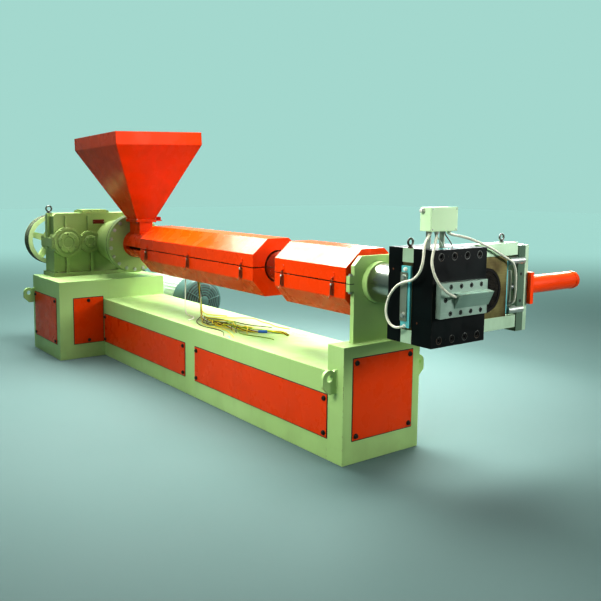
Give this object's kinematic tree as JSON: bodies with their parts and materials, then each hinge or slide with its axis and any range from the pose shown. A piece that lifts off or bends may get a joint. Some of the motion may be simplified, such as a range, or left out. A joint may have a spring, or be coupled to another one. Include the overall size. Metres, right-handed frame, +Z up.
{
  "type": "plastic extruder",
  "caption": "Single-screw plastic extruder on a welded bed: belt-driven gearbox, hopper with slide gate, hinged heater covers, screen changer and die.",
  "frame": {"origin": "on the floor under the barrel's axis, at the joint between the pedestal and the bed", "axes": "+X along the barrel from the gearbox to the die, +Y away from the operator's side, +Z up"},
  "size_m": [4.7978, 2.053, 1.9868],
  "materials": {
    "green_paint": "gloss enamel, pale apple green",
    "gear_paint": "gloss enamel over a rough casting",
    "orange_paint": "gloss enamel, orange red",
    "pulley_iron": "painted cast iron, bare grooves",
    "belt_rubber": "matt black rubber",
    "motor_paint": "pale grey enamel",
    "motor_cover": "dark grey green enamel",
    "barrel_steel": "turned steel",
    "heater_steel": "dull stainless sheet",
    "zinc_steel": "zinc plated",
    "black_oxide": "black oxide on milled steel",
    "slide_steel": "heat tinted steel",
    "heater_board": "pale turquoise board",
    "die_steel": "milled steel",
    "plate_steel": "milled steel plate",
    "rod_chrome": "hard chrome",
    "box_paint": "pale green enamel",
    "braid_sleeve": "woven glass sleeve",
    "lead_bundle": "bundle of coloured leads"
  },
  "bodies": {
    "frame": {"bed": "green_paint", "pedestal": "green_paint", "end_box": "green_paint", "bed_panels": "orange_paint", "pedestal_panels": "orange_paint", "end_panel": "orange_paint", "lifting_lugs": "green_paint", "gearbox_lower": "gear_paint", "gearbox_upper": "gear_paint", "bearing_caps": "gear_paint", "inspection_cover": "gear_paint", "thrust_housing": "gear_paint", "drive_belts": "belt_rubber", "motor_frame": "motor_paint", "motor_fan_cover": "motor_cover", "motor_terminal_box": "motor_paint", "motor_base": "green_paint", "feed_housing": "orange_paint", "feed_throat": "orange_paint", "hopper": "orange_paint", "barrel": "barrel_steel", "heater_bands": "heater_steel", "cover_saddles": "heater_steel", "cover_base_1": "orange_paint", "cover_base_2": "orange_paint", "hinge_pins": "zinc_steel", "latches": "zinc_steel", "support_plate": "green_paint", "support_cap": "green_paint", "changer_back": "black_oxide", "changer_frame": "green_paint", "changer_front": "black_oxide", "die_plate": "die_steel", "changer_end_plate": "green_paint", "cylinder_plate": "plate_steel", "tie_rods": "zinc_steel", "slide_cylinder": "orange_paint", "eyebolts": "zinc_steel", "junction_box": "box_paint", "junction_bracket": "zinc_steel", "lead_left": "braid_sleeve", "lead_die": "braid_sleeve", "lead_right": "braid_sleeve", "thermocouple_bundle": "lead_bundle"},
    "drive_pulley": {"drive_pulley": "pulley_iron"},
    "motor_pulley": {"motor_pulley": "pulley_iron"},
    "gate": {"hopper_gate": "orange_paint"},
    "lid_1": {"cover_lid_1": "orange_paint"},
    "lid_2": {"cover_lid_2": "orange_paint"},
    "slide": {"changer_slide": "slide_steel", "strip_heaters": "heater_board", "heater_clamps": "zinc_steel", "slide_rod": "rod_chrome"}
  },
  "joints": [
    {"name": "drive_pulley_spin", "type": "hinge", "parent": "frame", "child": "drive_pulley", "pos_m": [-0.863, -0.47, 1], "axis": [1, 0, 0], "continuous": true},
    {"name": "motor_pulley_spin", "type": "hinge", "parent": "frame", "child": "motor_pulley", "pos_m": [-0.863, 0.64, 0.43], "axis": [1, 0, 0], "continuous": true},
    {"name": "gate_slide", "type": "slide", "parent": "frame", "child": "gate", "axis": [0, 1, 0], "range_m": [0, 0.15]},
    {"name": "lid_1_hinge", "type": "hinge", "parent": "frame", "child": "lid_1", "pos_m": [1.4045, 0.215, 1], "axis": [-1, 0, 0], "range_deg": [0, 100]},
    {"name": "lid_2_hinge", "type": "hinge", "parent": "frame", "child": "lid_2", "pos_m": [2.8265, 0.215, 1], "axis": [-1, 0, 0], "range_deg": [0, 100]},
    {"name": "screen_slide", "type": "slide", "parent": "frame", "child": "slide", "axis": [0, -1, 0], "range_m": [0, 0.38], "deforming": ["lead_left", "lead_right"]}
  ],
  "couplings": [
    {"joint": "motor_pulley_spin", "follows": "drive_pulley_spin", "ratio": 2.4737}
  ]
}
